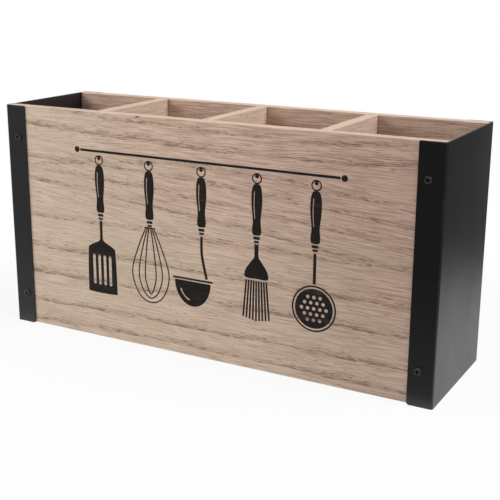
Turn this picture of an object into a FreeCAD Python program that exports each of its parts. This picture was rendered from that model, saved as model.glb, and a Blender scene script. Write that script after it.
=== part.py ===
import FreeCAD, Part
import math
import os
import Sketcher

# A free-standing utensil caddy with four open compartments.
# Wooden front, back, floor and dividers are housed in each other's grooves. A cap bent from steel sheet
# closes each end: its plate is the end wall, and its two flanges wrap the boards and are screwed to them.
# Millimetres, +Z up. X runs along the caddy, the front faces -Y and the table is at Z = 0.

SIZES = {
    "caddy_length": 350,
    "caddy_depth": 100,
    "caddy_height": 175,
    "sheet_thickness": 1,
    "inside_bend_radius": 0.6,
    "flange_width": 18,
    "flange_corner_radius": 2,
    "board_thickness": 8,
    "board_lift": 0.8,
    "board_end_clearance": 0.2,
    "edge_round": 0.6,
    "divider_thickness": 8,
    "divider_pitch": 90,
    "floor_thickness": 6,
    "floor_lift": 6,
    "groove_depth": 3,
    "groove_clearance": 0.2,
    "housing_clearance": 0.4,
    "screw_edge_distance": 7,
    "screw_margin": 24,
    "screw_head_diameter": 5.6,
    "screw_head_side_height": 0.7,
    "screw_shoulder_diameter": 5,
    "screw_shoulder_height": 1.4,
    "screw_crown_diameter": 3.6,
    "screw_head_height": 1.7,
    "screw_shank_diameter": 2.9,
    "screw_length": 7,
    "screw_tip_length": 2,
    "recess_span": 3.2,
    "recess_slot_width": 0.8,
    "recess_depth": 1.1,
    "recess_taper_angle": 8,
    "flange_hole_clearance": 0.2,
    "pilot_clearance": 0.05,
    "pilot_end_gap": 0.5,
}

# Places and lengths that several pieces share, as expressions over the sizes above.
HALF_LENGTH = "Sizes.caddy_length / 2"
HALF_DEPTH = "Sizes.caddy_depth / 2"
BOARD_OUTER = f"({HALF_DEPTH} - Sizes.sheet_thickness)"
BOARD_INNER = f"({BOARD_OUTER} - Sizes.board_thickness)"
BOARD_END = f"({HALF_LENGTH} - Sizes.sheet_thickness - Sizes.inside_bend_radius - Sizes.board_end_clearance)"
GROOVE_BOTTOM = f"({BOARD_INNER} + Sizes.groove_depth)"
TONGUE_END = f"({GROOVE_BOTTOM} - Sizes.groove_clearance)"
FLOOR_UNDERSIDE = "(Sizes.board_lift + Sizes.floor_lift)"
FLOOR_TOP = f"({FLOOR_UNDERSIDE} + Sizes.floor_thickness)"
SCREW_X = f"({HALF_LENGTH} - Sizes.flange_width + Sizes.screw_edge_distance)"
SCREW_HIGH = "(Sizes.caddy_height - Sizes.screw_margin)"
SCREW_LOW = "(Sizes.board_lift + Sizes.screw_margin)"
PILOT_DEPTH = "(Sizes.screw_length - Sizes.sheet_thickness + Sizes.pilot_end_gap)"

DIVIDERS = {"divider_left": -1, "divider_centre": 0, "divider_right": 1}
TOLERANCE = 1e-6
UP = FreeCAD.Vector(0, 0, 1)
HALF_TURN = FreeCAD.Rotation(UP, 180)
HEAD_TO_FRONT = FreeCAD.Rotation(FreeCAD.Vector(1, 0, 0), 90)

doc = FreeCAD.newDocument("utensil_caddy")
sheet = doc.addObject("Spreadsheet::Sheet", "Sizes")
for row, (name, size) in enumerate(SIZES.items(), 1):
    sheet.set(f"A{row}", name)
    sheet.set(f"B{row}", str(size))
    sheet.setAlias(f"B{row}", name)
doc.recompute()


def value(expression):
    return float(sheet.evalExpression(expression))


def new_body(label):
    body = doc.addObject("PartDesign::Body", label)
    body.Label = label
    return body


def new_sketch(body, name, plane_role, offset=None):
    """A sketch on one of the body's own origin planes, moved along the plane's normal by an expression."""
    sketch = body.newObject("Sketcher::SketchObject", name)
    plane = next(p for p in body.Origin.OriginFeatures if p.Role == plane_role)
    sketch.AttachmentSupport = [(plane, "")]
    sketch.MapMode = "FlatFace"
    if offset:
        sketch.setExpression("AttachmentOffset.Base.z", offset)
    return sketch


def bind(sketch, constraint, expression):
    index = sketch.addConstraint(constraint)
    sketch.setExpression(f"Constraints[{index}]", expression)


def outline(sketch, corners):
    """A closed outline through corners given as expressions.

    A corner is (x, y), or (x, y, radius) where an arc rounds it. Lines that meet an arc are level or upright.
    """
    count = len(corners)
    points = [FreeCAD.Vector(value(corner[0]), value(corner[1]), 0) for corner in corners]
    radii = [value(corner[2]) if len(corner) > 2 else 0 for corner in corners]
    steps = [(points[(i + 1) % count] - points[i]).normalize() for i in range(count)]
    for i in range(count):
        after = (i + 1) % count
        start = points[i] + steps[i] * radii[i]
        end = points[after] - steps[i] * radii[after]
        sketch.addGeometry(Part.LineSegment(start, end))
        upright = abs(steps[i].x) < abs(steps[i].y)
        if radii[i] or radii[after]:
            sketch.addConstraint(Sketcher.Constraint("Vertical" if upright else "Horizontal", i))
        if radii[i] and radii[after]:
            kind, axis = ("DistanceX", 0) if upright else ("DistanceY", 1)
            bind(sketch, Sketcher.Constraint(kind, -1, 1, i, 1, start[axis]), corners[i][axis])
    for i in range(count):
        before = (i - 1) % count
        if radii[i]:
            arc, first_end, last_end = corner_arc(sketch, points[i], steps[before], steps[i], radii[i])
            sketch.addConstraint(Sketcher.Constraint("Tangent", before, 2, arc, first_end))
            sketch.addConstraint(Sketcher.Constraint("Tangent", arc, last_end, i, 1))
            bind(sketch, Sketcher.Constraint("Radius", arc, radii[i]), corners[i][2])
        else:
            sketch.addConstraint(Sketcher.Constraint("Coincident", before, 2, i, 1))
            bind(sketch, Sketcher.Constraint("DistanceX", -1, 1, i, 1, points[i].x), corners[i][0])
            bind(sketch, Sketcher.Constraint("DistanceY", -1, 1, i, 1, points[i].y), corners[i][1])


def corner_arc(sketch, corner, step_in, step_out, radius):
    """An arc inside a corner: its index, and which of its ends meet the lines before and after the corner."""
    centre = corner + (step_out - step_in) * radius
    angle_in = math.atan2(-step_out.y, -step_out.x)
    angle_out = math.atan2(step_in.y, step_in.x)
    turns_left = step_in.cross(step_out).z > 0
    start, end = (angle_in, angle_out) if turns_left else (angle_out, angle_in)
    if end < start:
        end += 2 * math.pi
    arc = sketch.addGeometry(Part.ArcOfCircle(Part.Circle(centre, UP, radius), start, end))
    return (arc, 1, 2) if turns_left else (arc, 2, 1)


def circles(sketch, centres, diameter):
    for x, y in centres:
        centre = FreeCAD.Vector(value(x), value(y), 0)
        circle = sketch.addGeometry(Part.Circle(centre, UP, value(diameter) / 2))
        bind(sketch, Sketcher.Constraint("DistanceX", -1, 1, circle, 3, centre.x), x)
        bind(sketch, Sketcher.Constraint("DistanceY", -1, 1, circle, 3, centre.y), y)
        bind(sketch, Sketcher.Constraint("Diameter", circle, value(diameter)), diameter)


def pad(body, sketch, length, symmetric=False):
    feature = body.newObject("PartDesign::Pad", sketch.Name + "Pad")
    feature.Profile = sketch
    feature.SideType = "Symmetric" if symmetric else "One side"
    feature.setExpression("Length", length)
    doc.recompute()
    return feature


def pocket(body, sketch, depth=None):
    """A cut to a depth against the sketch's normal, or right through both ways."""
    whole = body.Shape.Volume
    feature = body.newObject("PartDesign::Pocket", sketch.Name + "Pocket")
    feature.Profile = sketch
    if depth:
        feature.setExpression("Length", depth)
    else:
        feature.SideType = "Symmetric"
        feature.Type = "ThroughAll"
    doc.recompute()
    if feature.Shape.Volume >= whole:
        raise RuntimeError(f"{feature.Label} cuts nothing")
    return feature


def repeat(body, originals, axis, length, count):
    feature = body.newObject("PartDesign::LinearPattern", body.Name + "Pattern")
    feature.Originals = originals
    feature.Direction = axis
    feature.setExpression("Length", length)
    feature.Occurrences = count
    body.Tip = feature
    doc.recompute()
    return feature


def edges_along_depth(feature, x):
    """The names of a feature's straight edges that run along Y at a given X."""
    names = []
    for number, edge in enumerate(feature.Shape.Edges, 1):
        box = edge.BoundBox
        if max(box.XLength, box.ZLength, abs(box.Center.x - x)) < TOLERANCE:
            names.append(f"Edge{number}")
    return names


def make_board(label):
    """A long board with eased edges, a floor groove, divider housings and pilot holes for the screws."""
    body = new_body(label)
    section = new_sketch(body, label + "_section", "YZ_Plane")
    outer, inner, groove = f"-{BOARD_OUTER}", f"-{BOARD_INNER}", f"-{GROOVE_BOTTOM}"
    low, high = "Sizes.board_lift", "Sizes.caddy_height"
    groove_top = f"{FLOOR_TOP} + Sizes.groove_clearance"
    outline(section, [
        (outer, low, "Sizes.edge_round"),
        (inner, low, "Sizes.edge_round"),
        (inner, FLOOR_UNDERSIDE),
        (groove, FLOOR_UNDERSIDE),
        (groove, groove_top),
        (inner, groove_top),
        (inner, high, "Sizes.edge_round"),
        (outer, high, "Sizes.edge_round"),
    ])
    pad(body, section, f"2 * {BOARD_END}", symmetric=True)

    housing = new_sketch(body, label + "_housing", "XY_Plane")
    half_width = "(Sizes.divider_thickness / 2 + Sizes.housing_clearance)"
    left, right = f"-Sizes.divider_pitch - {half_width}", f"-Sizes.divider_pitch + {half_width}"
    outline(housing, [(left, groove), (right, groove), (right, inner), (left, inner)])
    cut = pocket(body, housing)
    repeat(body, [cut], (housing, ["H_Axis"]), "2 * Sizes.divider_pitch", len(DIVIDERS))

    pilots = new_sketch(body, label + "_pilots", "XZ_Plane", BOARD_OUTER)
    centres = [(f"{side}{SCREW_X}", level) for side in ("-", "") for level in (SCREW_LOW, SCREW_HIGH)]
    circles(pilots, centres, "Sizes.screw_shank_diameter + 2 * Sizes.pilot_clearance")
    pocket(body, pilots, PILOT_DEPTH)
    return body


def make_cap(label):
    """A U of sheet steel with bent corners, rounded flange corners and clearance holes for the screws."""
    body = new_body(label)
    plan = new_sketch(body, label + "_plan", "XY_Plane")
    plate_out, plate_in = f"-{HALF_LENGTH}", f"Sizes.sheet_thickness - {HALF_LENGTH}"
    flange_end = f"Sizes.flange_width - {HALF_LENGTH}"
    bend_in, bend_out = "Sizes.inside_bend_radius", "Sizes.inside_bend_radius + Sizes.sheet_thickness"
    outline(plan, [
        (plate_out, f"-{HALF_DEPTH}", bend_out),
        (flange_end, f"-{HALF_DEPTH}"),
        (flange_end, f"-{BOARD_OUTER}"),
        (plate_in, f"-{BOARD_OUTER}", bend_in),
        (plate_in, BOARD_OUTER, bend_in),
        (flange_end, BOARD_OUTER),
        (flange_end, HALF_DEPTH),
        (plate_out, HALF_DEPTH, bend_out),
    ])
    channel = pad(body, plan, "Sizes.caddy_height")

    corners = body.newObject("PartDesign::Fillet", label + "_corners")
    corners.Base = (channel, edges_along_depth(channel, value(flange_end)))
    corners.setExpression("Radius", "Sizes.flange_corner_radius")
    doc.recompute()

    holes = new_sketch(body, label + "_holes", "XZ_Plane")
    hole_diameter = "Sizes.screw_shank_diameter + 2 * Sizes.flange_hole_clearance"
    circles(holes, [(f"-{SCREW_X}", SCREW_LOW), (f"-{SCREW_X}", SCREW_HIGH)], hole_diameter)
    pocket(body, holes)
    return body


def make_divider(label, place):
    """An upright partition that stands on the floor with its ends in the boards' housings."""
    body = new_body(label)
    section = new_sketch(body, label + "_section", "XZ_Plane")
    half, high = "Sizes.divider_thickness / 2", "Sizes.caddy_height"
    outline(section, [
        (f"-{half}", FLOOR_TOP),
        (half, FLOOR_TOP),
        (half, high, "Sizes.edge_round"),
        (f"-{half}", high, "Sizes.edge_round"),
    ])
    pad(body, section, f"2 * {TONGUE_END}", symmetric=True)
    body.setExpression("Placement.Base.x", f"{place} * Sizes.divider_pitch")
    return body


def make_floor(label):
    """The floor board, in the grooves of the front and back boards."""
    body = new_body(label)
    plan = new_sketch(body, label + "_plan", "XY_Plane", FLOOR_UNDERSIDE)
    outline(plan, [
        (f"-{BOARD_END}", f"-{TONGUE_END}"),
        (BOARD_END, f"-{TONGUE_END}"),
        (BOARD_END, TONGUE_END),
        (f"-{BOARD_END}", TONGUE_END),
    ])
    pad(body, plan, "Sizes.floor_thickness")
    return body


def make_screw_pair(label, side, face):
    """A lower and an upper pan-head screw with a cross recess, made along Z and repeated along Y."""
    body = new_body(label)
    profile = new_sketch(body, label + "_profile", "XZ_Plane")
    shank, head = "Sizes.screw_shank_diameter / 2", "Sizes.screw_head_diameter / 2"
    outline(profile, [
        ("0", "-Sizes.screw_length"),
        (shank, "Sizes.screw_tip_length - Sizes.screw_length"),
        (shank, "0"),
        (head, "0"),
        (head, "Sizes.screw_head_side_height"),
        ("Sizes.screw_shoulder_diameter / 2", "Sizes.screw_shoulder_height"),
        ("Sizes.screw_crown_diameter / 2", "Sizes.screw_head_height"),
        ("0", "Sizes.screw_head_height"),
    ])
    turned = body.newObject("PartDesign::Revolution", label + "_turned")
    turned.Profile = profile
    turned.ReferenceAxis = (profile, ["V_Axis"])
    doc.recompute()

    cross = new_sketch(body, label + "_cross", "XY_Plane", "Sizes.screw_head_height")
    far, near = "Sizes.recess_span / 2", "Sizes.recess_slot_width / 2"
    outline(cross, [
        (near, near), (near, far), (f"-{near}", far), (f"-{near}", near),
        (f"-{far}", near), (f"-{far}", f"-{near}"), (f"-{near}", f"-{near}"), (f"-{near}", f"-{far}"),
        (near, f"-{far}"), (near, f"-{near}"), (far, f"-{near}"), (far, near),
    ])
    recess = pocket(body, cross, "Sizes.recess_depth")
    recess.setExpression("TaperAngle", "-Sizes.recess_taper_angle")
    doc.recompute()
    repeat(body, [turned, recess], (cross, ["V_Axis"]), f"{SCREW_HIGH} - {SCREW_LOW}", 2)

    turn = HEAD_TO_FRONT if face < 0 else HALF_TURN.multiply(HEAD_TO_FRONT)
    body.Placement = FreeCAD.Placement(FreeCAD.Vector(), turn)
    body.setExpression("Placement.Base.x", f"{side} * {SCREW_X}")
    body.setExpression("Placement.Base.y", f"{face} * {HALF_DEPTH}")
    body.setExpression("Placement.Base.z", SCREW_LOW)
    return body


def turn_round(body):
    """Turn a piece half round the caddy's upright axis, to the opposite side or end."""
    body.Placement = FreeCAD.Placement(FreeCAD.Vector(), HALF_TURN)
    return body


pieces = [make_board("front_panel"), turn_round(make_board("back_panel")), make_floor("floor_panel")]
pieces += [make_divider(label, place) for label, place in DIVIDERS.items()]
pieces += [make_cap("end_cap_left"), turn_round(make_cap("end_cap_right"))]
for side_name, side in (("left", -1), ("right", 1)):
    for face_name, face in (("front", -1), ("back", 1)):
        pieces.append(make_screw_pair(f"{side_name}_cap_{face_name}_screws", side, face))
doc.recompute()

for item in doc.Objects:
    if {"Invalid", "Error"} & set(item.State):
        raise RuntimeError(f"{item.Label} failed: {item.State}")
for piece in pieces:
    if piece.Shape.isNull() or not piece.Shape.isValid():
        raise RuntimeError(f"{piece.Label} has no valid shape")

os.makedirs("parts", exist_ok=True)
for piece in pieces:
    piece.Shape.exportStep(f"parts/{piece.Label}.step")
    print(piece.Label, len(piece.Shape.Solids), "solids,", round(piece.Shape.Volume), "mm3")
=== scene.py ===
import math

import bmesh
import bpy
from mathutils import Matrix, Quaternion, Vector


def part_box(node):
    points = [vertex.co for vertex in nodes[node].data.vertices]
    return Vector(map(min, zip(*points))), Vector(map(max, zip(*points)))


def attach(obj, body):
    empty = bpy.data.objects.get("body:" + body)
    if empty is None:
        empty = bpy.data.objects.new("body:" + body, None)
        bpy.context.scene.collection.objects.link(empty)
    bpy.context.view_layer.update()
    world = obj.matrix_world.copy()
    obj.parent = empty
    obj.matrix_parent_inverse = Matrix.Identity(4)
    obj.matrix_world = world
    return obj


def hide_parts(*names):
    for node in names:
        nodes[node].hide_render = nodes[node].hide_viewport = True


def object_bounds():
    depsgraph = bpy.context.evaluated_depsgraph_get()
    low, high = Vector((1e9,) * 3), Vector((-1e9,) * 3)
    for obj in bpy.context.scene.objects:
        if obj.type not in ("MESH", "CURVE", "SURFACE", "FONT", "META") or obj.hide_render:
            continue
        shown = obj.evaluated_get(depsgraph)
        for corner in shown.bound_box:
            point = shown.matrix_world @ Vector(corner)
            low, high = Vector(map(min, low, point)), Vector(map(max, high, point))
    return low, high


# A utensil caddy of pale open-grained wood between two caps of black powder-coated steel.
# Metres, +Z up. X runs along the caddy and the front faces -Y. Lengths named _MM are millimetres.
# Colours are 0-255 sRGB. Values named _STEP are smooth steps: where they start and end, and the levels
# there if these aren't 0 and 1. Values named _BUMP are a bump's strength and its depth in millimetres.

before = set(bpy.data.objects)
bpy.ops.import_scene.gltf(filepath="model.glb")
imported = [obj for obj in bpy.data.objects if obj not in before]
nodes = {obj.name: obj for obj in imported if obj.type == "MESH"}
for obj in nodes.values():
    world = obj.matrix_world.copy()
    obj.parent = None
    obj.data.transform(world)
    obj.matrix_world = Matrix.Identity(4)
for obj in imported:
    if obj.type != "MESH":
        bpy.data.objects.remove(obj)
cad_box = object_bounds()

MM = 0.001
CAPS = ("end_cap_left", "end_cap_right")


def linear(value):
    """One sRGB channel, 0 to 1, as linear light."""
    return value / 12.92 if value <= 0.04045 else ((value + 0.055) / 1.055) ** 2.4


def colour(rgb):
    return tuple(linear(channel / 255) for channel in rgb) + (1.0,)


class Shader:
    """A node tree built by short calls, each of which returns an output socket."""

    def __init__(self, tree):
        self.tree = tree

    def node(self, kind, inputs=None, **settings):
        made = self.tree.nodes.new(kind)
        for name, setting in settings.items():
            setattr(made, name, setting)
        for key, value in (inputs or {}).items():
            self.feed(made.inputs[key], value)
        return made

    def feed(self, socket, value):
        """Link a socket to another node's output, or set it to a constant."""
        if isinstance(value, bpy.types.NodeSocket):
            self.tree.links.new(value, socket)
        else:
            socket.default_value = value

    def math(self, operation, *values):
        return self.node("ShaderNodeMath", dict(enumerate(values)), operation=operation).outputs[0]

    def vector(self, operation, *values):
        made = self.node("ShaderNodeVectorMath", dict(enumerate(values)), operation=operation)
        return made.outputs["Value" if operation == "LENGTH" else "Vector"]

    def point(self):
        """The place on the object in metres."""
        return self.node("ShaderNodeTexCoord").outputs["Object"]

    def point_mm(self):
        """The place on the object in millimetres."""
        return self.vector("MULTIPLY", self.point(), (1 / MM,) * 3)

    def parts(self, vector):
        return self.node("ShaderNodeSeparateXYZ", {0: vector}).outputs

    def noise(self, point, size, detail=2.0, roughness=0.5):
        """Cloudy noise from 0 to 1, whose blots have the given length along each axis."""
        scaled = self.vector("DIVIDE", point, size)
        inputs = {"Vector": scaled, "Scale": 1.0, "Detail": detail, "Roughness": roughness}
        return self.node("ShaderNodeTexNoise", inputs).outputs["Fac"]

    def swing(self, value, reach):
        """A 0 to 1 value as a swing to both sides of zero."""
        return self.math("MULTIPLY", self.math("SUBTRACT", value, 0.5), 2 * reach)

    def step(self, value, low, high, start=0.0, end=1.0):
        """A smooth step from start to end as the value goes from low to high."""
        inputs = {0: value, 1: low, 2: high, 3: start, 4: end}
        return self.node("ShaderNodeMapRange", inputs, interpolation_type="SMOOTHSTEP").outputs[0]

    def ramp(self, value, stops):
        """A grey ramp through (position, level) stops."""
        made = self.node("ShaderNodeValToRGB", {0: value})
        elements = made.color_ramp.elements
        for element, (position, level) in zip(elements, (stops[0], stops[-1])):
            element.position = position
            element.color = (level, level, level, 1)
        for position, level in stops[1:-1]:
            elements.new(position).color = (level, level, level, 1)
        return made.outputs["Color"]

    def blend(self, factor, first, second):
        """A mix of two values."""
        return self.node("ShaderNodeMix", {0: factor, 2: first, 3: second}).outputs[0]

    def mix(self, factor, first, second):
        """A mix of two colours."""
        made = self.node("ShaderNodeMix", {0: factor, 6: first, 7: second}, data_type="RGBA")
        return made.outputs[2]

    def bump(self, height, strength, depth_mm):
        inputs = {"Height": height, "Strength": strength, "Distance": depth_mm * MM}
        return self.node("ShaderNodeBump", inputs).outputs["Normal"]


def new_material(name, **constants):
    """A material, its node helper and its surface shader, with constants on the shader's own sockets."""
    material = bpy.data.materials.new(name)
    material.use_nodes = True
    surface = material.node_tree.nodes["Principled BSDF"]
    for key, value in constants.items():
        surface.inputs[key.replace("_", " ")].default_value = value
    return material, Shader(material.node_tree), surface


def dress(piece, material):
    piece.data.materials.clear()
    piece.data.materials.append(material)


def new_object(name, data):
    made = bpy.data.objects.new(name, data)
    bpy.context.scene.collection.objects.link(made)
    return made


def final_mesh(made):
    """The object's mesh with its modifiers or curve settings applied."""
    graph = bpy.context.evaluated_depsgraph_get()
    return bpy.data.meshes.new_from_object(made.evaluated_get(graph))


# Wood

COOL_WOOD = {"dark": (197, 175, 155), "pale": (219, 198, 177)}
WARM_WOOD = {"dark": (181, 149, 132), "pale": (218, 187, 169)}
# The rim colour is a painted highlight where light from above falls on the narrow faces, partly a paler
# sanded arris.
WOOD_RIM_HIGHLIGHT = (220, 195, 175)
WOOD_RING = (150, 118, 99)
WOOD_PORE = (122, 93, 77)
WOOD_FLAW = (92, 62, 48)

# How much of each mark's colour covers the wood, and where the marks fade; the rim's is a painted
# highlight.
RING_SHARE = 0.45
PORE_SHARE = 0.65
RIM_HIGHLIGHT_SHARE = 0.5
RIM_HIGHLIGHT_STEP_MM = (0.1, 0.8, 1.0, 0.0)
PORE_STEP = (0.68, 0.76)
PORE_CROWDING = 0.27
FLAW_STEP = (0.3, 1.1, 0.85, 0.0)

# The profile of a growth line, from just below it to where it has faded above it.
LINE_SPAN_MM = (-1.0, 9.0)
LINE_STOPS = ((0.0, 0.0), (0.05, 0.0), (0.13, 1.0), (0.28, 0.85), (0.42, 0.4), (0.6, 0.15), (1.0, 0.0))
LINE_WAVE_MM = 2.2
LINE_RAGGED_MM = 1.1
LINE_BREAK_STEP = (0.36, 0.6, 0.5, 1.0)

# Sizes of blots and streaks along the grain, through the board and across it.
WAVE_MM = (46, 20, 20)
RAGGED_MM = (16, 1.2, 1.2)
BREAK_MM = (42, 7, 7)
FINE_FIBRE_MM = (15, 0.44, 0.44)
COARSE_FIBRE_MM = (16, 1.7, 1.7)
DASH_MM = (6, 0.6, 0.6)
STREAK_MM = (60, 3.6, 3.6)
CLOUD_MM = (120, 26, 26)

# The fibres' mix, their spread from dark to pale, and the sway of broader figure in tone and warmth.
COARSE_FIBRE_SHARE = 0.2
FIBRE_SPREAD = 0.15
CALM_SPREAD = 0.3
FIGURE_SWAY = 0.06
CLOUD_WARMTH = 0.5
STREAK_WARMTH = 0.4

WOOD_SPECULAR = 0.3
WOOD_ROUGHNESS = 0.72
FIBRE_ROUGHNESS = -0.2
PORE_SINK = 1.5
WOOD_BUMP = (0.5, 0.12)

# A board's place in its timber, as shares of its start along, through and across the grain.
TIMBER_DRIFT = (1, 1 / 7, 1 / 11)
DIVIDER_LINE_STRENGTH = 0.3


def even_lines(first, spacing, count, slope, strength):
    """Growth lines at an even spacing across a board."""
    return tuple((first + i * spacing, slope, 0.0, strength) for i in range(count))


def divider_plan(start, first, spacing, count, slope):
    """The grain of a divider, whose fibres are fainter than those of the other boards."""
    lines = even_lines(first, spacing, count, slope, DIVIDER_LINE_STRENGTH)
    return {"axes": "YXZ", "start": start, "lines": lines, "calm": True}


# The grain of each board, in millimetres:
# axes: the part's axes along the grain, through the board and across it.
# start: the board's place along its timber, which gives it a figure of its own.
# lines: growth lines, as height at the board's middle, slope and curve along it, and strength.
# warmth, with painted light: the share of the warmer wood at the board's origin, and how it grows along
# and across it.
# flaws: small dark marks, as place along, through and across the board, and half their size each way.
# drifts: painted light and shade, as changes of lightness, each over a stretch of the board along or
# across it.
# slant: the heights between which the fibres slope, how far this fades beyond them, and the slope.
# pores: how much more open the pores are than on the other boards.
# calm: true where the fibres are fainter.
FRONT_LINES = (
    (167.5, -0.022, 0.00019, 0.65),
    (154.7, -0.016, 0.0002, 0.85),
    (141.5, 0.0, -0.00055, 0.6),
    (131.0, -0.06, -0.0002, 0.7),
    (118.0, -0.075, -0.0001, 0.6),
    (104.5, -0.095, 0.0, 0.7),
    (89.5, 0.0, 0.0, 0.65),
    (65.0, 0.0, 0.0, 0.85),
    (44.5, 0.006, 0.0, 0.9),
    (22.0, 0.006, -0.00005, 0.85),
    (7.5, 0.007, -0.0001, 0.85),
)
# Partly the wood's hue, partly painted light: greyer, paler bottom as painted floor bounce; darker right
# as painted shade.
FRONT_WARMTH_AND_PAINTED_LIGHT = (0.1, 0.0027, 0.0032)
BACK_WARMTH = (0.75, 0.0, 0.0)
PLAIN_WARMTH = (0.6, 0.0, 0.0)
FRONT_FLAWS = (
    ((-53, -49, 174.1), (3.0, 1.5, 0.9)),
    ((-2.2, -49, 170.4), (0.9, 1.5, 0.8)),
)
# Painted light and shade on the front: a lighter middle, a darker right end, a lighter bottom from the
# floor's bounce and a lighter top.
FRONT_PAINTED_LIGHT = (
    ("along", (-120, -20), (1.0, 1.05)),
    ("along", (20, 140), (1.0, 0.85)),
    ("across", (0, 60), (1.08, 1.0)),
    ("across", (130, 170), (1.0, 1.03)),
)
# Painted light on the back board: lighter towards its top.
BACK_PAINTED_LIGHT = (("across", (100, 175), (1.0, 1.08)),)
FRONT_SLANT = {"zone": (92, 138), "fade": 14, "slope": 0.06}
BOARDS = {
    "front_panel": {
        "axes": "XYZ", "start": 0, "lines": FRONT_LINES, "warmth_and_painted_light": FRONT_WARMTH_AND_PAINTED_LIGHT,
        "flaws": FRONT_FLAWS, "drifts": FRONT_PAINTED_LIGHT, "slant": FRONT_SLANT,
    },
    "back_panel": {
        "axes": "XYZ", "start": 700, "lines": even_lines(9, 19, 9, 0.012, 0.34), "pores": 0.03,
        "warmth_and_painted_light": BACK_WARMTH, "drifts": BACK_PAINTED_LIGHT,
    },
    "floor_panel": {"axes": "XZY", "start": 1300, "lines": even_lines(-38, 19, 5, 0.01, 0.5)},
    "divider_left": divider_plan(1900, 14, 22, 8, -0.04),
    "divider_centre": divider_plan(2600, 8, 25, 7, 0.05),
    "divider_right": divider_plan(3300, 18, 21, 8, -0.02),
}


class Grain:
    """Growth lines, fibres, pores, marks and painted light of one board, as sockets of a node tree."""

    def __init__(self, shader, board):
        plan = BOARDS[board]
        self.shader = shader
        parts = dict(zip("XYZ", shader.parts(shader.point_mm())))
        along, through, across = (parts[axis] for axis in plan["axes"])
        self.place = self.point(along, through, across)
        timber = shader.vector("ADD", self.place, [plan["start"] * share for share in TIMBER_DRIFT])
        self.ring = self.growth(timber, along, across, plan["lines"])
        self.fibre, dashes = self.fibres(timber), self.dashes(timber)
        if "slant" in plan:
            slope = plan["slant"]["slope"]
            slanted = self.point(along, through, shader.math("MULTIPLY_ADD", along, slope, across))
            zone = self.slant_zone(across, plan["slant"])
            self.fibre = shader.blend(zone, self.fibre, self.fibres(slanted))
            dashes = shader.blend(zone, dashes, self.dashes(slanted))
        crowding = shader.math("MULTIPLY_ADD", self.ring, PORE_CROWDING, plan.get("pores", 0.0))
        self.pore = shader.step(shader.math("ADD", crowding, dashes), *PORE_STEP)
        self.streak = shader.noise(timber, STREAK_MM, detail=3)
        self.cloud = shader.noise(timber, CLOUD_MM, detail=3)
        self.warmth_and_painted_light = self.warm_share(along, across, plan.get("warmth_and_painted_light", PLAIN_WARMTH))
        self.flaw = self.flaws(plan.get("flaws", ()))
        self.brightness = self.drifts(along, across, plan.get("drifts", ()))

    def point(self, along, through, across):
        return self.shader.node("ShaderNodeCombineXYZ", {0: along, 1: through, 2: across}).outputs[0]

    def growth(self, timber, along, across, lines):
        """Dark growth lines, sharp below and fading upwards, uneven along the grain."""
        shader = self.shader
        wave = shader.swing(shader.noise(timber, WAVE_MM), LINE_WAVE_MM)
        ragged = shader.swing(shader.noise(timber, RAGGED_MM), LINE_RAGGED_MM)
        level = shader.math("ADD", across, shader.math("ADD", wave, ragged))
        square = shader.math("MULTIPLY", along, along)
        below, above = LINE_SPAN_MM
        total = 0.0
        for height, slope, curve, strength in lines:
            middle = shader.math("MULTIPLY_ADD", along, slope, height)
            middle = shader.math("MULTIPLY_ADD", square, curve, middle)
            offset = shader.math("SUBTRACT", level, middle)
            position = shader.node("ShaderNodeMapRange", {0: offset, 1: below, 2: above}).outputs[0]
            line = shader.math("MULTIPLY", shader.ramp(position, LINE_STOPS), strength)
            total = shader.math("MAXIMUM", total, line)
        broken = shader.step(shader.noise(timber, BREAK_MM), *LINE_BREAK_STEP)
        return shader.math("MULTIPLY", total, broken)

    def fibres(self, point):
        fine = self.shader.noise(point, FINE_FIBRE_MM, detail=0)
        coarse = self.shader.noise(point, COARSE_FIBRE_MM)
        return self.shader.blend(COARSE_FIBRE_SHARE, fine, coarse)

    def dashes(self, point):
        return self.shader.noise(point, DASH_MM, detail=1)

    def slant_zone(self, across, slant):
        """1 where the fibres slope, fading to 0 above and below."""
        (low, high), fade = slant["zone"], slant["fade"]
        rise = self.shader.step(across, low - fade, low)
        fall = self.shader.step(across, high, high + fade, 1.0, 0.0)
        return self.shader.math("MULTIPLY", rise, fall)

    def warm_share(self, along, across, warmth_and_painted_light):
        """How much warmer wood shows, in drifts, clouds and streaks; on the front the drifts are partly
        painted light.
        """
        shader = self.shader
        origin, rise_along, rise_across = warmth_and_painted_light
        share = shader.math("MULTIPLY_ADD", across, rise_across, origin)
        share = shader.math("MULTIPLY_ADD", along, rise_along, share)
        share = shader.math("ADD", share, shader.swing(self.cloud, CLOUD_WARMTH))
        share = shader.math("ADD", share, shader.swing(self.streak, STREAK_WARMTH))
        return shader.step(share, 0.0, 1.0)

    def flaws(self, marks):
        """1 in each small dark mark, with soft edges."""
        shader = self.shader
        total = 0.0
        for middle, reach in marks:
            offset = shader.vector("DIVIDE", shader.vector("SUBTRACT", self.place, middle), reach)
            mark = shader.step(shader.vector("LENGTH", offset), *FLAW_STEP)
            total = shader.math("MAXIMUM", total, mark)
        return total

    def drifts(self, along, across, changes):
        """The board's brightness, as it changes along and across it."""
        ways = {"along": along, "across": across}
        total = 1.0
        for way, stretch, levels in changes:
            # Painted light and shade: how much lighter or darker the board is made along and across it.
            total = self.shader.math("MULTIPLY", total, self.shader.step(ways[way], *stretch, *levels))
        return total


def rim_highlight_mask(shader, place, board):
    """A painted highlight, partly a paler sanded arris: 1 on a board's narrow long faces, fading to 0 a
    little way down its sides.
    """
    low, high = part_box(board)
    order = ["XYZ".index(axis) for axis in BOARDS[board]["axes"]]
    middle = Vector([(low[i] + high[i]) / 2 / MM for i in order])
    half = Vector([(high[i] - low[i]) / 2 / MM for i in order])
    offset = shader.vector("ABSOLUTE", shader.vector("SUBTRACT", place, middle))
    inset = shader.parts(shader.vector("SUBTRACT", half, offset))
    return shader.step(inset[2], *RIM_HIGHLIGHT_STEP_MM)


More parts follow.
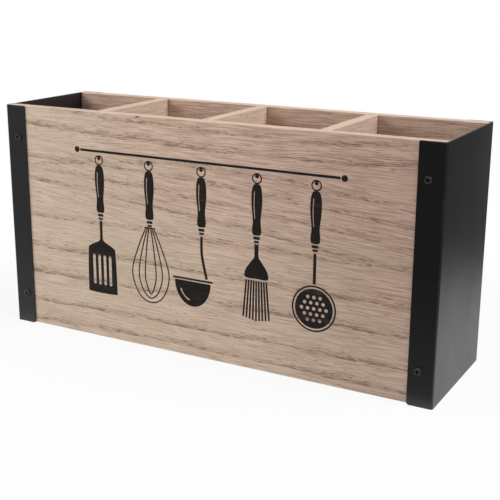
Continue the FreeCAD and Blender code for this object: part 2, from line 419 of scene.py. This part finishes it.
def wood_colour(shader, grain, board):
    """The board's colour: fibres between dark and pale, then rings, pores, painted light, a painted rim
    highlight and flaws over them.
    """
    figure = shader.math(
        "ADD", shader.swing(grain.cloud, FIGURE_SWAY), shader.swing(grain.streak, FIGURE_SWAY))
    spread = CALM_SPREAD if BOARDS[board].get("calm") else FIBRE_SPREAD
    tone = shader.step(shader.math("ADD", grain.fibre, figure), 0.5 - spread, 0.5 + spread)
    dark = shader.mix(grain.warmth_and_painted_light, colour(COOL_WOOD["dark"]), colour(WARM_WOOD["dark"]))
    pale = shader.mix(grain.warmth_and_painted_light, colour(COOL_WOOD["pale"]), colour(WARM_WOOD["pale"]))
    shade = shader.mix(tone, dark, pale)
    shade = shader.mix(shader.math("MULTIPLY", grain.ring, RING_SHARE), shade, colour(WOOD_RING))
    shade = shader.mix(shader.math("MULTIPLY", grain.pore, PORE_SHARE), shade, colour(WOOD_PORE))
    # Painted light and shade: the colour made lighter or darker over the board.
    inputs = {"Color": shade, "Value": grain.brightness}
    shade = shader.node("ShaderNodeHueSaturation", inputs).outputs[0]
    # Painted highlight on the boards' narrow faces, partly a paler sanded arris.
    rim = shader.math("MULTIPLY", rim_highlight_mask(shader, grain.place, board), RIM_HIGHLIGHT_SHARE)
    shade = shader.mix(rim, shade, colour(WOOD_RIM_HIGHLIGHT))
    return shader.mix(grain.flaw, shade, colour(WOOD_FLAW))


def make_wood(board):
    material, shader, surface = new_material(f"wood_{board}", Specular_IOR_Level=WOOD_SPECULAR)
    grain = Grain(shader, board)
    shader.feed(surface.inputs["Base Color"], wood_colour(shader, grain, board))
    rough = shader.math("MULTIPLY_ADD", grain.fibre, FIBRE_ROUGHNESS, WOOD_ROUGHNESS)
    shader.feed(surface.inputs["Roughness"], rough)
    height = shader.math("SUBTRACT", grain.fibre, shader.math("MULTIPLY", grain.pore, PORE_SINK))
    shader.feed(surface.inputs["Normal"], shader.bump(height, *WOOD_BUMP))
    return material


# Powder-coated steel

COAT_BLACK = (18, 17, 17)
COAT_WORN = (62, 60, 58)
COAT_IOR = 1.6
COAT_PEEL_MM = (1.1,) * 3
COAT_GRIT_MM = (0.22,) * 3
COAT_SMUDGE_MM = (34, 34, 60)
COAT_EDGE_STEP_MM = (0.3, 1.6, 1.0, 0.0)
WORN_STEP = (0.35, 0.7)
WORN_SHARE = 0.6
FLECK_STEP = (0.6, 0.8)
FLECK_SHARE = 0.25
COAT_ROUGHNESS = 0.35
GRIT_ROUGHNESS = 0.1
SMUDGE_ROUGHNESS = 0.06
GRIT_HEIGHT = 0.3
COAT_BUMP = (0.25, 0.03)

# The corners of the CAD's flanges, with a little slack, and how much of their size the top ones keep.
CORNER_MM = 2.0
CORNER_SLACK = 1.01
TOP_CORNER_SHARE = 0.45


def cap_edge_mask(shader, place, cap):
    """1 at a cap's bends and rims, fading to 0 a little way in."""
    low, high = (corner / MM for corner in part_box(cap))
    whole_low, whole_high = (corner / MM for corner in cad_box)
    end = whole_low.x if low.x == whole_low.x else whole_high.x
    half_depth = (high.y - low.y) / 2
    x, y, z = shader.parts(place)
    from_end = shader.math("ABSOLUTE", shader.math("SUBTRACT", x, end))
    from_side = shader.math("SUBTRACT", half_depth, shader.math("ABSOLUTE", y))
    from_bend = shader.math("MAXIMUM", from_end, from_side)
    from_rim = shader.math("MINIMUM", z, shader.math("SUBTRACT", high.z, z))
    return shader.step(shader.math("MINIMUM", from_bend, from_rim), *COAT_EDGE_STEP_MM)


def make_coat(cap):
    material, shader, surface = new_material(f"coat_{cap}", IOR=COAT_IOR)
    place = shader.point_mm()
    peel = shader.noise(place, COAT_PEEL_MM, detail=1)
    grit = shader.noise(place, COAT_GRIT_MM)
    smudge = shader.noise(place, COAT_SMUDGE_MM, detail=4, roughness=0.6)
    worn = shader.math("MULTIPLY", cap_edge_mask(shader, place, cap), shader.step(smudge, *WORN_STEP))
    fleck = shader.math("MULTIPLY", shader.step(grit, *FLECK_STEP), FLECK_SHARE)
    mask = shader.math("MAXIMUM", shader.math("MULTIPLY", worn, WORN_SHARE), fleck)
    shader.feed(surface.inputs["Base Color"], shader.mix(mask, colour(COAT_BLACK), colour(COAT_WORN)))
    rough = shader.math("MULTIPLY_ADD", grit, GRIT_ROUGHNESS, COAT_ROUGHNESS)
    rough = shader.math("ADD", shader.swing(smudge, SMUDGE_ROUGHNESS), rough)
    shader.feed(surface.inputs["Roughness"], rough)
    height = shader.math("MULTIPLY_ADD", grit, GRIT_HEIGHT, peel)
    shader.feed(surface.inputs["Normal"], shader.bump(height, *COAT_BUMP))
    return material


def make_cap(cap):
    """A cap in place of the CAD's, whose flange corners are tighter at the top than at the bottom."""
    low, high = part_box(cap)
    flange_end = high.x if low.x == cad_box[0].x else low.x
    mesh = nodes[cap].data.copy()
    for vertex in mesh.vertices:
        corner = Vector((flange_end, vertex.co.y, high.z))
        offset = vertex.co - corner
        if max(abs(offset.x), abs(offset.z)) < CORNER_SLACK * CORNER_MM * MM:
            vertex.co = corner + offset * TOP_CORNER_SHARE
    piece = new_object(cap + "_fine", mesh)
    dress(piece, make_coat(cap))
    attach(piece, "root")
    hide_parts(cap)


# Screws

SCREW_BLACK = (30, 29, 28)
SCREW_STEEL = (124, 122, 117)
# Wear of the black finish by how squarely a surface faces front or back: most on the head's shoulder.
SCREW_WEAR_STOPS = ((0.0, 0.0), (0.6, 0.0), (0.78, 0.9), (0.9, 1.0), (0.98, 0.5), (1.0, 0.0))
SCREW_CLOUD_MM = (1.6,) * 3
SCREW_GRIT_MM = (0.12,) * 3
RUBBED_STEP = (0.42, 0.64, 0.05, 1.0)
SCREW_ROUGHNESS = 0.4
CLOUD_ROUGHNESS = 0.25
SCREW_BUMP = (0.2, 0.01)

HEAD_HEIGHT_MM = 1.7
HEAD_ROUNDNESS = 2.8
HEAD_STEPS = 12
HEAD_SEGMENTS = 48
SHARP_ANGLE = 35
RECESS_SPAN_MM = 3.8
RECESS_SLOT_MM = 0.8
RECESS_DEPTH_MM = 1.2
RECESS_FLOOR_SHARE = 0.8
CUTTER_ABOVE_MM = 0.5
SHANK_RADIUS_MM = 1.42
THREAD_ROOT_MM = 1.1
THREAD_PITCH_MM = 0.9
# Where a turn of thread starts to rise and where its crest is, as shares of the pitch.
THREAD_FOOT = 0.3
THREAD_CREST = 0.65
TIP_LENGTH_MM = 2.0
WELD_MM = 0.002

# How far the crosses of each pair's lower and upper screw are turned, in degrees.
SCREW_TURNS = {
    "left_cap_front_screws": (20, 62),
    "left_cap_back_screws": (8, 75),
    "right_cap_front_screws": (14, 47),
    "right_cap_back_screws": (33, 55),
}


def screw_profile(radius, length):
    """Half the outline of a pan-head screw, from crown to tip, as (radius, height) in millimetres."""
    points = []
    for step in range(HEAD_STEPS + 1):
        angle = math.pi / 2 * step / HEAD_STEPS
        across = math.sin(angle) ** (2 / HEAD_ROUNDNESS)
        up = math.cos(angle) ** (2 / HEAD_ROUNDNESS)
        points.append((radius * across, HEAD_HEIGHT_MM * up))
    points.append((THREAD_ROOT_MM, 0))
    for turn in range(int((length - TIP_LENGTH_MM) / THREAD_PITCH_MM)):
        points.append((THREAD_ROOT_MM, -(turn + THREAD_FOOT) * THREAD_PITCH_MM))
        points.append((SHANK_RADIUS_MM, -(turn + THREAD_CREST) * THREAD_PITCH_MM))
    points.append((THREAD_ROOT_MM, TIP_LENGTH_MM - length))
    points.append((0, -length))
    return points


def mesh_data(name, mesh):
    """A finished mesh with its faces turned outwards."""
    bmesh.ops.recalc_face_normals(mesh, faces=mesh.faces)
    data = bpy.data.meshes.new(name)
    mesh.to_mesh(data)
    mesh.free()
    return data


def turned_mesh(name, profile):
    """A closed solid of revolution about Z from a profile that starts and ends on the axis."""
    angles = [2 * math.pi * i / HEAD_SEGMENTS for i in range(HEAD_SEGMENTS)]
    mesh = bmesh.new()
    rings = []
    for radius, height in profile:
        around = [(math.cos(a), math.sin(a)) for a in angles] if radius else [(0, 0)]
        places = [(radius * x * MM, radius * y * MM, height * MM) for x, y in around]
        rings.append([mesh.verts.new(place) for place in places])
    for upper, lower in zip(rings, rings[1:]):
        for i in range(HEAD_SEGMENTS):
            j = (i + 1) % HEAD_SEGMENTS
            corners = [upper[i % len(upper)], lower[i % len(lower)]]
            corners += [lower[j % len(lower)], upper[j % len(upper)]]
            mesh.faces.new(list(dict.fromkeys(corners)))
    return mesh_data(name, mesh)


def cross_cutter():
    """A four-winged plug that narrows downwards, to cut a cross recess."""
    far, near = RECESS_SPAN_MM / 2, RECESS_SLOT_MM / 2
    wing = [(far, -near), (far, near), (near, near)]
    outline = []
    for quarter in range(4):
        turn = Matrix.Rotation(quarter * math.pi / 2, 2)
        outline += [turn @ Vector(point) for point in wing]
    mesh = bmesh.new()
    top_height = (HEAD_HEIGHT_MM + CUTTER_ABOVE_MM) * MM
    floor_height = (HEAD_HEIGHT_MM - RECESS_DEPTH_MM) * MM
    floor_scale = RECESS_FLOOR_SHARE * MM
    top = [mesh.verts.new((p.x * MM, p.y * MM, top_height)) for p in outline]
    floor = [mesh.verts.new((p.x * floor_scale, p.y * floor_scale, floor_height)) for p in outline]
    mesh.faces.new(top)
    mesh.faces.new(list(reversed(floor)))
    for i in range(len(outline)):
        j = (i + 1) % len(outline)
        mesh.faces.new((top[j], top[i], floor[i], floor[j]))
    return mesh_data("recess_cutter", mesh)


def cross_head_screw(radius, length):
    """The mesh of one screw along Z, with its head's seat at the origin."""
    screw = new_object("screw_blank", turned_mesh("screw_blank", screw_profile(radius, length)))
    cutter = new_object("recess_cutter", cross_cutter())
    cut = screw.modifiers.new("recess", "BOOLEAN")
    cut.object = cutter
    cut.operation = "DIFFERENCE"
    mesh = final_mesh(screw)
    bpy.data.objects.remove(screw)
    bpy.data.objects.remove(cutter)
    return mesh


def make_screw_pair(node, material):
    """Two screws in place of a CAD pair, each with its cross turned its own way."""
    low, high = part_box(node)
    radius = (high.x - low.x) / 2
    side = -1 if low.y < 0 else 1
    outer, tip = (low.y, high.y) if side < 0 else (high.y, low.y)
    seat = outer - side * HEAD_HEIGHT_MM * MM
    mesh = cross_head_screw(radius / MM, abs(tip - seat) / MM)
    face = Matrix.Rotation(-side * math.pi / 2, 4, "X")
    pair = bmesh.new()
    for level, turn in zip((low.z + radius, high.z - radius), SCREW_TURNS[node]):
        one = mesh.copy()
        place = Matrix.Translation((low.x + radius, seat, level)) @ face
        one.transform(place @ Matrix.Rotation(math.radians(turn), 4, "Z"))
        pair.from_mesh(one)
    bmesh.ops.remove_doubles(pair, verts=pair.verts, dist=WELD_MM * MM)
    data = bpy.data.meshes.new(node + "_fine")
    pair.to_mesh(data)
    pair.free()
    data.shade_smooth()
    data.set_sharp_from_angle(angle=math.radians(SHARP_ANGLE))
    piece = new_object(node + "_fine", data)
    dress(piece, material)
    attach(piece, "root")
    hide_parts(node)


def make_screw_finish():
    material, shader, surface = new_material("screw_finish")
    place = shader.point_mm()
    cloud = shader.noise(place, SCREW_CLOUD_MM, detail=4)
    grit = shader.noise(place, SCREW_GRIT_MM)
    normal = shader.node("ShaderNodeTexCoord").outputs["Normal"]
    facing = shader.math("ABSOLUTE", shader.parts(normal)[1])
    rubbed = shader.step(cloud, *RUBBED_STEP)
    worn = shader.math("MULTIPLY", shader.ramp(facing, SCREW_WEAR_STOPS), rubbed)
    shade = shader.mix(worn, colour(SCREW_BLACK), colour(SCREW_STEEL))
    rough = shader.math("MULTIPLY_ADD", cloud, CLOUD_ROUGHNESS, SCREW_ROUGHNESS)
    shader.feed(surface.inputs["Base Color"], shade)
    shader.feed(surface.inputs["Metallic"], worn)
    shader.feed(surface.inputs["Roughness"], rough)
    shader.feed(surface.inputs["Normal"], shader.bump(grit, *SCREW_BUMP))
    return material


# The print: plain kitchen tools that hang from a rail. Outlines are in millimetres before they are
# scaled, x to the right and y up, from the middle of the rail. Outlines inside others are holes in them.

INK_BLACK = (36, 33, 31)
INK_THIN = (74, 64, 56)
INK_SPECULAR = 0.25
INK_PORE_SHARE = 0.5
INK_FIBRE_STEP = (0.62, 0.85, 0.0, 0.6)
INK_ROUGHNESS = 0.5
INK_FIBRE_ROUGHNESS = 0.25
INK_BUMP = (0.3, 0.05)
INK_PROUD_MM = 0.03
INK_SUNK_MM = 0.01

PRINT_SCALE = 1.12
RAIL_HEIGHT_MM = 146
RAIL_HALF_LENGTH = 94
RAIL_HALF_WIDTH = 0.8
KNOB_GAP = 2.6
KNOB_RADIUS = 2.0
TOOL_PITCH = 39.5
TOOL_PLACES = [(i - 2) * TOOL_PITCH for i in range(5)]
PEG_DROP = 4.6
PEG_RADIUS = 1.3
EYE_DROP = 6.0
EYE_RADIUS = 3.0
WIRE_WIDTH = 0.9

# Half outlines, as half width and height.
GRIP = ((0, -9.4), (2.2, -10), (3.5, -14), (3.7, -22), (2.7, -32), (3.2, -38), (2.6, -41), (0, -41.5))
TURNER_BLADE = (
    (0, -47.4), (1.1, -47.5), (1.1, -57), (2.0, -61), (9.5, -65), (11.2, -69),
    (12, -94), (11, -97.5), (0, -98),
)
BRUSH_FERRULE = ((0, -47.4), (1.4, -47.5), (1.5, -55), (3.4, -58), (7.6, -64), (7.8, -69), (0, -69.2))
ON_AXIS = 0.01

# Bands and straight stems, as height of the middle, half width and half height.
COLLARS = ((-43.2, 2.2, 0.9), (-45.6, 1.7, 0.7))
WHISK_BAND = (-47.2, 4.2, 0.6)
SKIMMER_STEM = (-57, 1.0, 9.6)

# Loops of the whisk, as half width at the top, half width at the belly, and foot.
WHISK_LOOPS = ((3.4, 14.5, -98), (2.0, 9.2, -95), (0.9, 4.3, -92))
LADLE_STEM = ((0, -47.4), (0.2, -60), (3.6, -75.4))
GRIP_SHINE = ((-1.6, -14), (-1.9, -22), (-1.3, -31))
GRIP_SHINE_WIDTH = 0.5


def smooth(points, steps=8):
    """Points along an open curve that passes through the given ones."""
    ends = [points[0], *points, points[-1]]
    curve = []
    for i in range(len(points) - 1):
        a, b, c, d = (Vector(p) for p in ends[i:i + 4])
        for step in range(steps):
            t = step / steps
            square = (2 * a - 5 * b + 4 * c - d) * t ** 2
            cube = (3 * b - a - 3 * c + d) * t ** 3
            curve.append(0.5 * (2 * b + (c - a) * t + square + cube))
    return curve + [Vector(points[-1])]


def mirrored(profile):
    """A closed outline, the same on both sides of its axis, from (half width, height) points."""
    right = smooth(profile)
    left = [Vector((-p.x, p.y)) for p in reversed(right) if p.x > ON_AXIS]
    return right + left


def circle(x, y, radius, count=36):
    angles = [2 * math.pi * i / count for i in range(count)]
    return [Vector((x + radius * math.cos(a), y + radius * math.sin(a))) for a in angles]


def half_round(x, y, radius, depth, count=24):
    """The lower half of an oval, from left to right."""
    angles = [math.pi + math.pi * i / count for i in range(count + 1)]
    return [Vector((radius * math.cos(a) + x, y + depth * math.sin(a))) for a in angles]


def ring(x, y, radius, width):
    return [circle(x, y, radius + width / 2), circle(x, y, radius - width / 2)]


def oblong(x, y, half_width, half_height):
    signs = ((-1, -1), (1, -1), (1, 1), (-1, 1))
    return [Vector((x + i * half_width, y + j * half_height)) for i, j in signs]


def long_hole(x, top, bottom, half_width, count=8):
    """An upright slot with round ends."""
    turn = [math.pi * i / count for i in range(count + 1)]
    upper = [Vector((x + half_width * math.cos(a), top + half_width * math.sin(a))) for a in turn]
    lower = [Vector((x - half_width * math.cos(a), bottom - half_width * math.sin(a))) for a in turn]
    return upper + lower


def stroke(points, width):
    """A line of even width along a path, as a closed outline."""
    path = [Vector(p) for p in points]
    left, right = [], []
    for i, point in enumerate(path):
        along = (path[min(i + 1, len(path) - 1)] - path[max(i - 1, 0)]).normalized()
        aside = Vector((-along.y, along.x)) * width / 2
        left.append(point + aside)
        right.append(point - aside)
    return left + right[::-1]


def rail():
    bar = oblong(0, 0, RAIL_HALF_LENGTH, RAIL_HALF_WIDTH)
    knobs = [circle(side * (RAIL_HALF_LENGTH + KNOB_GAP), 0, KNOB_RADIUS) for side in (-1, 1)]
    pegs = [circle(x, -PEG_DROP, PEG_RADIUS) for x in TOOL_PLACES]
    return [bar, *knobs, *pegs]


def grip():
    """A hanging eye, a turned handle with a line of shine, and two collars."""
    eye = ring(0, -EYE_DROP, EYE_RADIUS, WIRE_WIDTH)
    shine = stroke(smooth(GRIP_SHINE), GRIP_SHINE_WIDTH)
    collars = [oblong(0, *collar) for collar in COLLARS]
    return [*eye, mirrored(GRIP), shine, *collars]


def turner():
    holes = [long_hole(x, top=-72, bottom=-91, half_width=1.1) for x in (-6.6, -2.2, 2.2, 6.6)]
    return [mirrored(TURNER_BLADE), *holes]


def whisk():
    top_height, shoulder_height, belly_height, toe_lift = -48, -60, -78, 5
    shoulder_share, toe_share = 0.62, 0.66
    loops = []
    for top, belly, foot in WHISK_LOOPS:
        right = [(top, top_height), (belly * shoulder_share, shoulder_height), (belly, belly_height)]
        right += [(belly * toe_share, foot + toe_lift), (0, foot)]
        left = [(-x, y) for x, y in reversed(right[:-1])]
        loops.append(stroke(smooth(right + left), WIRE_WIDTH))
    return [*loops, oblong(0, *WHISK_BAND)]


def ladle():
    middle, rim, depth, radius = -7, -77, 17, 13.5
    bowl = half_round(middle, rim - 1.4, radius, depth)
    inner = half_round(middle, rim - 2.6, 0.72 * radius, 0.7 * depth)
    shine = stroke(inner[3:11], WIRE_WIDTH)
    stem = stroke(smooth(LADLE_STEM), width=1.9)
    lip = stroke([(-22, rim), (8, rim)], width=1.3)
    return [bowl, shine, stem, lip]


def brush():
    top, top_pitch = -70.6, 1.75
    foot, foot_pitch, foot_rise = -97, 2.3, 0.45
    bristles = []
    for i in range(-4, 5):
        ends = [(top_pitch * i, top), (foot_pitch * i, foot + foot_rise * abs(i))]
        bristles.append(stroke(ends, width=1.25))
    return [mirrored(BRUSH_FERRULE), *bristles]


def skimmer():
    middle, widest_row, pitch_across, pitch_up = -82, 5, 4.1, 3.6
    holes = []
    for row in range(-2, 3):
        in_row = widest_row - abs(row)
        places = [pitch_across * (i - (in_row - 1) / 2) for i in range(in_row)]
        holes += [circle(x, middle + pitch_up * row, radius=1.15, count=16) for x in places]
    rim = ring(0, middle, radius=14.2, width=1.1)
    pan = circle(0, middle, radius=12.6, count=48)
    return [oblong(0, *SKIMMER_STEM), *rim, pan, *holes]


def print_piece(name, outlines, x, material):
    """A thin film of ink on the front board, from outlines that hang at a place along the rail."""
    curve = bpy.data.curves.new(name, "CURVE")
    curve.dimensions = "2D"
    curve.fill_mode = "BOTH"
    curve.extrude = (INK_PROUD_MM + INK_SUNK_MM) / 2 * MM
    for outline in outlines:
        spline = curve.splines.new("POLY")
        spline.points.add(len(outline) - 1)
        for point, at in zip(spline.points, outline):
            point.co = ((at.x + x) * PRINT_SCALE * MM, at.y * PRINT_SCALE * MM, 0, 1)
        spline.use_cyclic_u = True
    drawn = new_object(name + "_outline", curve)
    mesh = final_mesh(drawn)
    bpy.data.objects.remove(drawn)
    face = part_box("front_panel")[0].y
    lift = (INK_PROUD_MM - INK_SUNK_MM) / 2 * MM
    upright = Matrix.Rotation(math.pi / 2, 4, "X")
    mesh.transform(Matrix.Translation((0, face - lift, RAIL_HEIGHT_MM * MM)) @ upright)
    mesh.name = name
    piece = new_object(name, mesh)
    dress(piece, material)
    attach(piece, "root")


def make_ink():
    """Matt black ink that thins over the board's pores and proud fibres."""
    material, shader, surface = new_material("print_ink", Specular_IOR_Level=INK_SPECULAR)
    grain = Grain(shader, "front_panel")
    over_pores = shader.math("MULTIPLY", grain.pore, INK_PORE_SHARE)
    thin = shader.math("MAXIMUM", over_pores, shader.step(grain.fibre, *INK_FIBRE_STEP))
    rough = shader.math("MULTIPLY_ADD", grain.fibre, INK_FIBRE_ROUGHNESS, INK_ROUGHNESS)
    shader.feed(surface.inputs["Base Color"], shader.mix(thin, colour(INK_BLACK), colour(INK_THIN)))
    shader.feed(surface.inputs["Roughness"], rough)
    shader.feed(surface.inputs["Normal"], shader.bump(grain.fibre, *INK_BUMP))
    return material


def make_print():
    ink = make_ink()
    print_piece("print_rail", rail(), 0, ink)
    for place, tool in zip(TOOL_PLACES, (turner, whisk, ladle, brush, skimmer)):
        print_piece(f"print_{tool.__name__}", grip() + tool(), place, ink)


# Stage, light and camera

FLOOR_PALE = (226, 226, 225)
FLOOR_REACH = 30.0
# The floor's share of plain white, close to the caddy and from there to where it is all white.
FLOOR_CLEAR_STEP = (0.2, 0.42, 0.9, 1.0)

# Walls that only reflections see. Their glow is given at the foot and above the fade.
WALL_HEIGHT = 0.9
WALL_FADE = 0.09
WALLS = {
    "wall_front_left": {"ends": ((-0.46, -0.06), (-0.1, -0.06)), "glow": (0.54, 0.365)},
    "wall_front_right": {"ends": ((-0.1, -0.06), (0.46, -0.06)), "glow": (0.265, 0.095)},
    "wall_right": {"ends": ((0.33, -0.08), (0.236, 0.32)), "glow": (0.005, 0.005)},
    "wall_back": {"ends": ((0.236, 0.32), (-0.46, 0.32)), "glow": (0.6, 0.6)},
    "wall_left": {"ends": ((-0.46, 0.32), (-0.46, -0.06)), "glow": (0.11, 0.11)},
}
FILL_LEVEL = 0.19
LAMPS = {
    "right_softbox": {"place": (1.15, 0.05, 1.3), "size": (1.2, 1.2), "watts": 28.5, "mirrored": True},
    "left_softbox": {"place": (-0.7, -0.52, 0.55), "size": (0.5, 0.5), "watts": 5.0, "mirrored": False},
}

# The camera stands to the right of the front and looks slightly down.
CAMERA_PLACE = (0.355, -0.6271, 0.2752)
CAMERA_AZIMUTH = 29.717
CAMERA_ELEVATION = 15.521
CAMERA_ROLL = 0.045
CAMERA_SHIFT = (0.0356, -0.0104)
LENS_MM = 71.38
SENSOR_MM = 36


def backdrop_rays(shader):
    """1 for the rays that show the background: camera, glossy and transmission rays."""
    path = shader.node("ShaderNodeLightPath").outputs
    seen = shader.math("ADD", path["Is Camera Ray"], path["Is Glossy Ray"])
    total = shader.math("ADD", seen, path["Is Transmission Ray"])
    return shader.math("MINIMUM", total, 1.0)


def quad_mesh(name, corners):
    data = bpy.data.meshes.new(name)
    data.from_pydata(corners, [], [range(4)])
    return data


def make_floor():
    """A pale floor that clears to white away from the object and keeps its shadow."""
    corners = [(*corner, 0) for corner in oblong(0, 0, FLOOR_REACH, FLOOR_REACH)]
    floor = new_object("floor", quad_mesh("floor", corners))
    material, shader, surface = new_material("floor", Roughness=0.9, Specular_IOR_Level=0.0)
    surface.inputs["Base Color"].default_value = colour(FLOOR_PALE)
    distance = shader.vector("LENGTH", shader.point())
    factor = shader.math("MULTIPLY", shader.step(distance, *FLOOR_CLEAR_STEP), backdrop_rays(shader))
    white = shader.node("ShaderNodeEmission", {"Strength": 1.0}).outputs[0]
    mixed = shader.node("ShaderNodeMixShader", {0: factor, 1: surface.outputs[0], 2: white})
    output = material.node_tree.nodes["Material Output"]
    shader.feed(output.inputs["Surface"], mixed.outputs[0])
    dress(floor, material)


def make_wall(name, ends, glow):
    """A wall that only reflections see, for the steel to mirror above the floor."""
    (x0, y0), (x1, y1) = ends
    corners = [(x0, y0, 0), (x1, y1, 0), (x1, y1, WALL_HEIGHT), (x0, y0, WALL_HEIGHT)]
    wall = new_object(name, quad_mesh(name, corners))
    material, shader, surface = new_material(name, Roughness=1.0, Emission_Strength=1.0)
    surface.inputs["Base Color"].default_value = (0, 0, 0, 1)
    height = shader.parts(shader.point())[2]
    shader.feed(surface.inputs["Emission Color"], shader.step(height, 0.0, WALL_FADE, *glow))
    dress(wall, material)
    wall.visible_camera = False
    wall.visible_diffuse = False
    wall.visible_transmission = False
    wall.visible_shadow = False


def make_world():
    """An even soft fill, with white where the background itself is seen."""
    world = bpy.data.worlds.new("studio")
    world.use_nodes = True
    shader = Shader(world.node_tree)
    fill = world.node_tree.nodes["Background"]
    fill.inputs["Color"].default_value = (1, 1, 1, 1)
    fill.inputs["Strength"].default_value = FILL_LEVEL
    white = shader.node("ShaderNodeBackground", {"Color": (1, 1, 1, 1), "Strength": 1.0})
    inputs = {0: backdrop_rays(shader), 1: fill.outputs[0], 2: white.outputs[0]}
    mixed = shader.node("ShaderNodeMixShader", inputs)
    shader.feed(world.node_tree.nodes["World Output"].inputs["Surface"], mixed.outputs[0])
    bpy.context.scene.world = world


def make_lamps():
    target = (cad_box[0] + cad_box[1]) / 2
    for name, lamp in LAMPS.items():
        data = bpy.data.lights.new(name, "AREA")
        data.shape = "RECTANGLE"
        data.size, data.size_y = lamp["size"]
        data.energy = lamp["watts"]
        made = new_object(name, data)
        made.location = lamp["place"]
        made.rotation_mode = "QUATERNION"
        made.rotation_quaternion = (target - Vector(lamp["place"])).to_track_quat("-Z", "Y")
        made.visible_camera = False
        made.visible_glossy = lamp["mirrored"]


def make_camera():
    data = bpy.data.cameras.new("camera")
    data.lens = LENS_MM
    data.sensor_width = SENSOR_MM
    data.shift_x, data.shift_y = CAMERA_SHIFT
    camera = new_object("camera", data)
    azimuth, elevation = math.radians(CAMERA_AZIMUTH), math.radians(CAMERA_ELEVATION)
    level = math.cos(elevation)
    forward = Vector((-math.sin(azimuth) * level, math.cos(azimuth) * level, -math.sin(elevation)))
    roll = Quaternion((0, 0, 1), math.radians(CAMERA_ROLL))
    camera.location = CAMERA_PLACE
    camera.rotation_mode = "QUATERNION"
    camera.rotation_quaternion = forward.to_track_quat("-Z", "Y") @ roll
    bpy.context.scene.camera = camera


for board in BOARDS:
    dress(nodes[board], make_wood(board))
for cap in CAPS:
    make_cap(cap)
screw_finish = make_screw_finish()
for pair in SCREW_TURNS:
    make_screw_pair(pair, screw_finish)
make_print()

make_floor()
for name, wall in WALLS.items():
    make_wall(name, wall["ends"], wall["glow"])
make_world()
make_lamps()
make_camera()
bpy.context.scene.view_settings.view_transform = "Standard"
